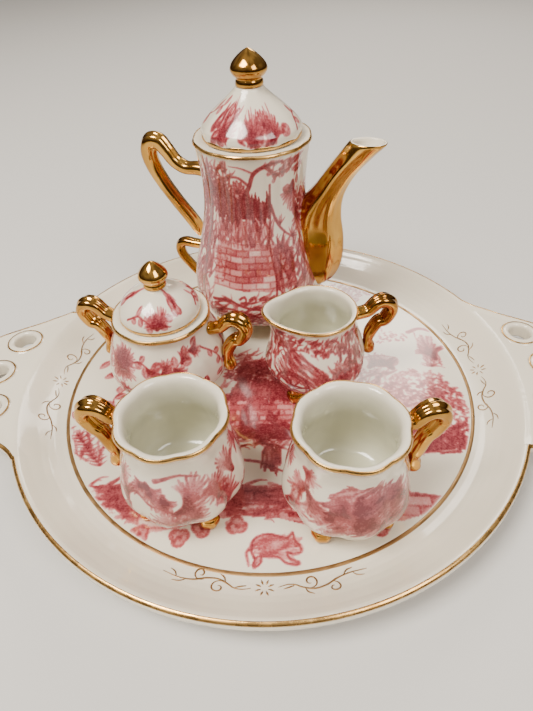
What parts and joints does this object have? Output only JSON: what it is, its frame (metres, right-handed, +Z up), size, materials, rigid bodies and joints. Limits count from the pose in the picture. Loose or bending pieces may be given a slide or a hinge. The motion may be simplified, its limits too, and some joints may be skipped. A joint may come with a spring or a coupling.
{
  "type": "miniature tea set",
  "caption": "Doll's-house porcelain tea set: pierced-ear tray with a tall lobed teapot, lidded sugar bowl, creamer and cups, transfer-print pastoral scenes and gold lustre trim.",
  "frame": {"origin": "under the middle of the tray, on the surface that its foot ring stands on", "axes": "+X along the tray's two ears, +Y towards the pot at the back of the tray, +Z up"},
  "size_m": [0.2188, 0.1674, 0.1001],
  "materials": {
    "porcelain": "gloss glaze over a rose transfer print",
    "tray_porcelain": "gloss glaze over a rose transfer print",
    "gold_lustre": "bright gold lustre over glaze"
  },
  "bodies": {
    "tray": {"tray": "tray_porcelain"},
    "pot": {"pot_body": "porcelain", "pot_spout": "gold_lustre", "pot_handle": "gold_lustre", "pot_handle_scroll": "gold_lustre", "pot_foot_1": "gold_lustre", "pot_foot_2": "gold_lustre", "pot_foot_3": "gold_lustre", "pot_foot_4": "gold_lustre"},
    "pot_lid": {"pot_lid": "porcelain", "pot_finial": "gold_lustre"},
    "sugar": {"sugar_body": "porcelain", "sugar_handle_right": "gold_lustre", "sugar_handle_left": "gold_lustre", "sugar_foot_1": "gold_lustre", "sugar_foot_2": "gold_lustre", "sugar_foot_3": "gold_lustre", "sugar_foot_4": "gold_lustre"},
    "sugar_lid": {"sugar_lid": "porcelain", "sugar_finial": "gold_lustre"},
    "creamer": {"creamer_body": "porcelain", "creamer_handle": "gold_lustre", "creamer_foot_1": "gold_lustre", "creamer_foot_2": "gold_lustre", "creamer_foot_3": "gold_lustre", "creamer_foot_4": "gold_lustre"},
    "cup_1": {"cup_1_body": "porcelain", "cup_1_handle": "gold_lustre", "cup_1_foot_1": "gold_lustre", "cup_1_foot_2": "gold_lustre", "cup_1_foot_3": "gold_lustre", "cup_1_foot_4": "gold_lustre"},
    "cup_2": {"cup_2_body": "porcelain", "cup_2_handle": "gold_lustre", "cup_2_foot_1": "gold_lustre", "cup_2_foot_2": "gold_lustre", "cup_2_foot_3": "gold_lustre", "cup_2_foot_4": "gold_lustre"}
  },
  "joints": [
    {"name": "pot_lift", "type": "slide", "parent": "tray", "child": "pot", "axis": [0, 0, 1], "range_m": [0, 0.06]},
    {"name": "pot_lid_lift", "type": "slide", "parent": "pot", "child": "pot_lid", "axis": [0, 0, 1], "range_m": [0, 0.03]},
    {"name": "sugar_lift", "type": "slide", "parent": "tray", "child": "sugar", "axis": [0, 0, 1], "range_m": [0, 0.06]},
    {"name": "sugar_lid_lift", "type": "slide", "parent": "sugar", "child": "sugar_lid", "axis": [0, 0, 1], "range_m": [0, 0.025]},
    {"name": "creamer_lift", "type": "slide", "parent": "tray", "child": "creamer", "axis": [0, 0, 1], "range_m": [0, 0.06]},
    {"name": "cup_1_lift", "type": "slide", "parent": "tray", "child": "cup_1", "axis": [0, 0, 1], "range_m": [0, 0.06]},
    {"name": "cup_2_lift", "type": "slide", "parent": "tray", "child": "cup_2", "axis": [0, 0, 1], "range_m": [0, 0.06]}
  ]
}
